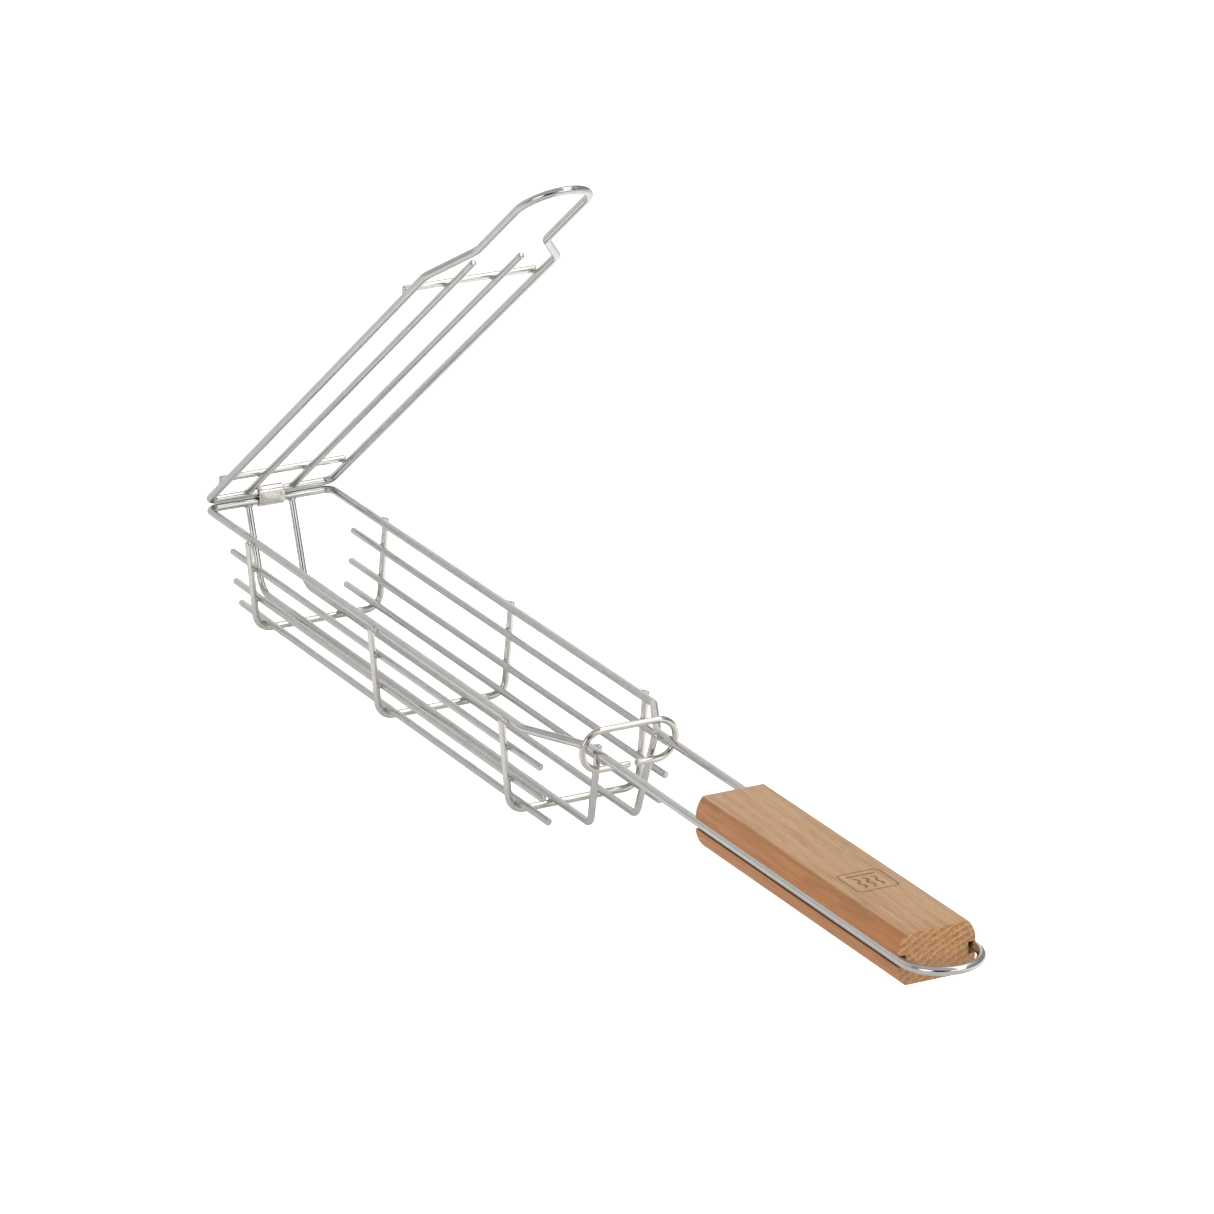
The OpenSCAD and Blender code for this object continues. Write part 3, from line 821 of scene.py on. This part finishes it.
class GRILL_OT_hinge_clip(bpy.types.Operator):
    """Roll the hinge clip round the rear bar and the lid's rear wire"""
    bl_idname = "grill.hinge_clip"
    bl_label = "Hinge clip"

    def execute(self, context):
        sizes, lid = settings("fittings"), settings("lid")
        radius = sizes.clip_outer - sizes.clip_sheet / 2
        gap = sizes.clip_seam / 2
        middle = lid.hinge_z / 2
        mesh = bmesh.new()
        ends = [mesh.verts.new(at(-radius, y, middle - gap))
                for y in (-sizes.clip_half, sizes.clip_half)]
        edge = [mesh.edges.new(ends)]

        def onward(move):
            nonlocal edge
            made = bmesh.ops.extrude_edge_only(mesh, edges=edge)["geom"]
            points = [item for item in made if isinstance(item, bmesh.types.BMVert)]
            edge = [item for item in made
                    if isinstance(item, bmesh.types.BMEdge) and set(item.verts) == set(points)]
            bmesh.ops.translate(mesh, verts=points, vec=move)

        def roll(pivot, angle):
            nonlocal edge
            made = bmesh.ops.spin(mesh, geom=edge, cent=pivot, axis=(0, 1, 0), angle=angle,
                                  steps=CLIP_STEPS, use_merge=False)["geom_last"]
            edge = [item for item in made if isinstance(item, bmesh.types.BMEdge)]

        onward((0, 0, gap - middle))
        roll(at(0, 0, 0), -math.pi)
        onward((0, 0, lid.hinge_z))
        roll(at(0, 0, lid.hinge_z), -math.pi)
        onward((0, 0, gap - middle))
        bmesh.ops.subdivide_edges(
            mesh, edges=[e for e in mesh.edges if abs(e.verts[0].co.y - e.verts[1].co.y) > 0.001],
            cuts=3)
        bmesh.ops.recalc_face_normals(mesh, faces=mesh.faces)
        piece = add_piece("clip_sheet", mesh, bent_sheet("pressed_clip_sheet"),
                          "basket", ["hinge_clip"])
        wall = piece.modifiers.new("Sheet", "SOLIDIFY")
        wall.thickness, wall.offset, wall.use_even_offset = sizes.clip_sheet, 0, True
        ease = piece.modifiers.new("Eased edges", "BEVEL")
        ease.width, ease.segments, ease.limit_method = CLIP_EASE, 3, "ANGLE"
        ease.angle_limit = math.radians(50)
        return {"FINISHED"}


class GRILL_OT_lock_ring(bpy.types.Operator):
    """Bend the lock ring, open at its cut ends"""
    bl_idname = "grill.lock_ring"
    bl_label = "Lock ring"

    def execute(self, context):
        wires, sizes = settings("wires"), settings("fittings")
        place = Matrix.Translation(at(sizes.ring_x, 0, sizes.ring_z)) @ Matrix.Rotation(
            sizes.ring_tilt, 4, "Y")
        half, tall = sizes.ring_half, sizes.ring_bend
        gap, gap_y = sizes.ring_gap / 2, sizes.ring_gap_y
        corners = [(0, gap_y + gap, -tall), (0, half, -tall), (0, half, tall),
                   (0, -half, tall), (0, -half, -tall), (0, gap_y - gap, -tall)]
        mesh = drawn_wire([place @ Vector(corner) for corner in corners], [tall] * 4,
                          wires.ring_d)
        add_piece("ring_wire", mesh, bright_finish(), "lock_ring", ["lock_ring"])
        return {"FINISHED"}


class GRILL_OT_grip(bpy.types.Operator):
    """Mould the wooden grip with its two wire grooves"""
    bl_idname = "grill.grip"
    bl_label = "Grip"

    def execute(self, context):
        sizes = settings("fittings")
        start, stop = sizes.grip_ends
        low, high = sizes.groove_z
        waist, waist_z = sizes.grip_waist
        shoulder, shoulder_z = sizes.grip_shoulder
        top, flat, floor = sizes.grip_half_z, sizes.grip_flat, sizes.groove_floor
        side = [(flat, -top), (shoulder, -shoulder_z), (waist, -waist_z), (waist, low),
                (floor, low), (floor, high), (waist, high), (waist, waist_z),
                (shoulder, shoulder_z), (flat, top)]
        section = side + [(-y, z) for y, z in reversed(side)]
        mesh = bmesh.new()
        points = [mesh.verts.new(at(start, y, z)) for y, z in section]
        made = bmesh.ops.extrude_face_region(mesh, geom=[mesh.faces.new(points)],
                                             use_keep_orig=True)["geom"]
        moved = [item for item in made if isinstance(item, bmesh.types.BMVert)]
        bmesh.ops.translate(mesh, verts=moved, vec=(stop - start, 0, 0))
        bmesh.ops.recalc_face_normals(mesh, faces=mesh.faces)
        centre_z = at(0, 0, 0).z

        def lengthwise(edge, y, z):
            one, other = (point.co for point in edge.verts)
            return (abs(one.x - other.x) > SAME and abs(abs(one.y) - y) < SAME
                    and abs(abs(one.z - centre_z) - z) < SAME)

        def ease(chosen, width, segments):
            bmesh.ops.bevel(mesh, geom=chosen, offset=width, offset_type="OFFSET",
                            affect="EDGES", segments=segments, profile=0.5, material=-1,
                            clamp_overlap=True)

        ease([edge for edge in mesh.edges if lengthwise(edge, shoulder, shoulder_z)],
             SHOULDER_EASE, 4)
        ease([edge for edge in mesh.edges if lengthwise(edge, waist, waist_z)],
             WAIST_EASE, 4)
        ease([edge for edge in mesh.edges if lengthwise(edge, flat, top)], sizes.grip_edge, 3)
        low_x, high_x = at(start, 0, 0).x, at(stop, 0, 0).x
        rims = [edge for edge in mesh.edges
                if all(abs(point.co.x - low_x) < SAME for point in edge.verts)
                or all(abs(point.co.x - high_x) < SAME for point in edge.verts)]
        ease(rims, sizes.grip_edge * 0.7, 2)
        for x in (start + (stop - start) * step / GRIP_SLICES for step in range(1, GRIP_SLICES)):
            bmesh.ops.bisect_plane(mesh, geom=mesh.verts[:] + mesh.edges[:] + mesh.faces[:],
                                   plane_co=at(x, 0, 0), plane_no=(1, 0, 0))
        bmesh.ops.remove_doubles(mesh, verts=mesh.verts, dist=1e-6)
        add_piece("wooden_grip", mesh, oiled_wood("oiled_oak"), "basket",
                  ["handle_grip"], math.radians(28))
        return {"FINISHED"}


class GRILL_OT_stage(bpy.types.Operator):
    """Lay the floor, set the light and the camera"""
    bl_idname = "grill.stage"
    bl_label = "Stage"

    def execute(self, context):
        scene = context.scene
        mesh = bmesh.new()
        bmesh.ops.create_circle(mesh, cap_ends=True, segments=96, radius=FLOOR_RADIUS,
                                matrix=Matrix.Translation((0, 0, -FLOOR_DROP)))
        data = bpy.data.meshes.new("floor")
        mesh.to_mesh(data)
        mesh.free()
        floor = bpy.data.objects.new("floor", data)
        scene.collection.objects.link(floor)
        material, sheet, shader = new_finish("pale_floor")
        place = sheet.place()
        # White to the camera; the metal sees a dim floor with a pale patch on either side.
        seen = sheet.node("ShaderNodeLightPath")
        x, y, _ = place.axes()
        beside = x.step(-0.36, -0.28) * (1 - x.step(0.40, 0.60))
        right = y.step(0.03, 0.08) * (1 - y.step(0.45, 0.70))
        left = (1 - y.step(-0.08, -0.04)) * y.step(-0.70, -0.45) * (1 - x.step(0.06, 0.14))
        glow = beside * (right * 0.42 + left * 0.20)
        feed(shader, Base_Color=place.noise(3, 2.0).blend((0.90, 0.90, 0.90), (0.88, 0.88, 0.88)),
             Roughness=0.9, Emission_Strength=1.0,
             Emission_Color=(0.14 + glow).most(seen).blend((0, 0, 0), (1, 1, 1)))
        shader.inputs["Specular IOR Level"].default_value = 0.1
        data.materials.append(material)
        self.light(scene)
        self.aim(scene)
        return {"FINISHED"}

    def light(self, scene):
        """A dim room with bright panels, dark where the viewer stands, white behind the object."""
        world = bpy.data.worlds.new("studio")
        scene.world = world
        world.use_nodes = True
        tree = world.node_tree
        sheet = Shade(tree)
        way = sheet.node("ShaderNodeTexCoord")

        def towards(azimuth, height):
            level = math.cos(math.radians(height))
            return (level * math.cos(math.radians(azimuth)),
                    level * math.sin(math.radians(azimuth)), math.sin(math.radians(height)))

        def near(azimuth, height, inner, outer):
            """1 within the inner angle of a direction, 0 outside the outer one."""
            turned = way.spaced(towards(azimuth, height), "DOT_PRODUCT")
            turned = Shade(tree, turned.socket.node.outputs["Value"])
            return turned.step(math.cos(math.radians(outer)), math.cos(math.radians(inner)))

        x, y, z = way.axes()
        strip = (1 - abs(y - 0.44).step(0.12, 0.20)) * z.step(0.02, 0.12) * x.step(-0.46, -0.34)
        overhead = near(60, 80, 38, 52)
        panels = near(-62, 21, 15, 20).most(near(9, 20, 9, 13))
        viewer = near(-28, 19, 14, 18)
        backdrop = near(180, 0, 38, 46).most(near(216, 6, 42, 52)) * (0.47 + y * 0.24)
        strength = 0.36 + overhead * 0.22 + strip * 1.25 + panels * 1.4 + backdrop
        strength = strength * (1 - viewer * 0.94)
        seen = sheet.node("ShaderNodeLightPath")
        strength = strength * (1 - seen) + seen
        background = tree.nodes["Background"]
        background.inputs["Color"].default_value = (1, 1, 1, 1)
        tree.links.new(strength.socket, background.inputs["Strength"])
        scene.view_settings.view_transform = "Standard"
        scene.view_settings.look = "None"
        scene.view_settings.exposure = 0
        scene.view_settings.gamma = 1

    def aim(self, scene):
        """Stands the camera in front of the handle's end, above and to the left."""
        ahead = Vector((-math.sin(CAMERA_TURN) * math.cos(CAMERA_TIP),
                        math.cos(CAMERA_TURN) * math.cos(CAMERA_TIP), -math.sin(CAMERA_TIP)))
        right = ahead.cross(Vector((0, 0, 1))).normalized()
        facing = Matrix((right, right.cross(ahead), -ahead)).transposed()
        data = bpy.data.cameras.new("camera")
        data.sensor_width, data.lens, data.clip_end = 36, CAMERA_LENS, CAMERA_REACH
        camera = bpy.data.objects.new("camera", data)
        camera.matrix_world = Matrix.Translation(CAMERA_AT) @ facing.to_4x4()
        scene.collection.objects.link(camera)
        scene.camera = camera


OPERATORS = (GRILL_OT_stage, GRILL_OT_frame_wire, GRILL_OT_hoops, GRILL_OT_side_rods,
             GRILL_OT_centre_rods, GRILL_OT_lid_frame, GRILL_OT_lid_wires, GRILL_OT_welds,
             GRILL_OT_hinge_clip, GRILL_OT_lock_ring, GRILL_OT_grip)


class GRILL_PT_pieces(bpy.types.Panel):
    """Lists the grill basket's pieces and sizes"""
    bl_idname = "GRILL_PT_pieces"
    bl_label = "Grill basket"
    bl_space_type = "VIEW_3D"
    bl_region_type = "UI"
    bl_category = "Grill basket"

    def draw(self, context):
        for operator in OPERATORS:
            self.layout.operator(operator.bl_idname)
        for group, kind in SETTINGS.items():
            box = self.layout.box()
            box.label(text=group.capitalize())
            for name in kind.__annotations__:
                box.prop(settings(group), name)


def register():
    for kind in (*SETTINGS.values(), *OPERATORS, GRILL_PT_pieces):
        bpy.utils.register_class(kind)
    for group, kind in SETTINGS.items():
        setattr(bpy.types.Scene, "grill_" + group, PointerProperty(type=kind))


def unregister():
    for group in SETTINGS:
        delattr(bpy.types.Scene, "grill_" + group)
    for kind in reversed((*SETTINGS.values(), *OPERATORS, GRILL_PT_pieces)):
        bpy.utils.unregister_class(kind)


def main():
    register()
    for operator in OPERATORS:
        group, name = operator.bl_idname.split(".")
        getattr(getattr(bpy.ops, group), name)()


if __name__ == "__main__":
    main()
